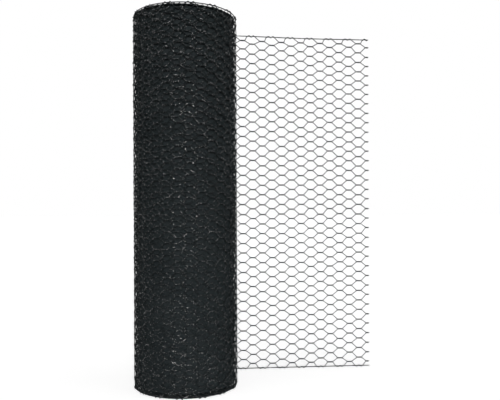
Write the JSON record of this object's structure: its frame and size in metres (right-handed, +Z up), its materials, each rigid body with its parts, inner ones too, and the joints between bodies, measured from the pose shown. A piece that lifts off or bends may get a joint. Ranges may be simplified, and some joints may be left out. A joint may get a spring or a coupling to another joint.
{
  "type": "roll of hexagonal wire netting",
  "caption": "Upright roll of dark plastic-coated hexagonal wire netting, wound round an open middle, with a flat loose end.",
  "frame": {"origin": "on the roll's axis, at the surface that the roll stands on", "axes": "+Z up along the roll's axis, +Y to the side where the loose end leaves the roll, +X roughly along the loose end towards its cut edge"},
  "size_m": [0.3397, 0.1648, 0.5],
  "materials": {
    "coated_wire": "very dark green, slightly glossy PVC coating on steel wire"
  },
  "bodies": {
    "root": {"wound_roll": "coated_wire", "loose_end_by_roll": "coated_wire", "loose_end_middle": "coated_wire", "loose_end_cut": "coated_wire"}
  },
  "joints": []
}
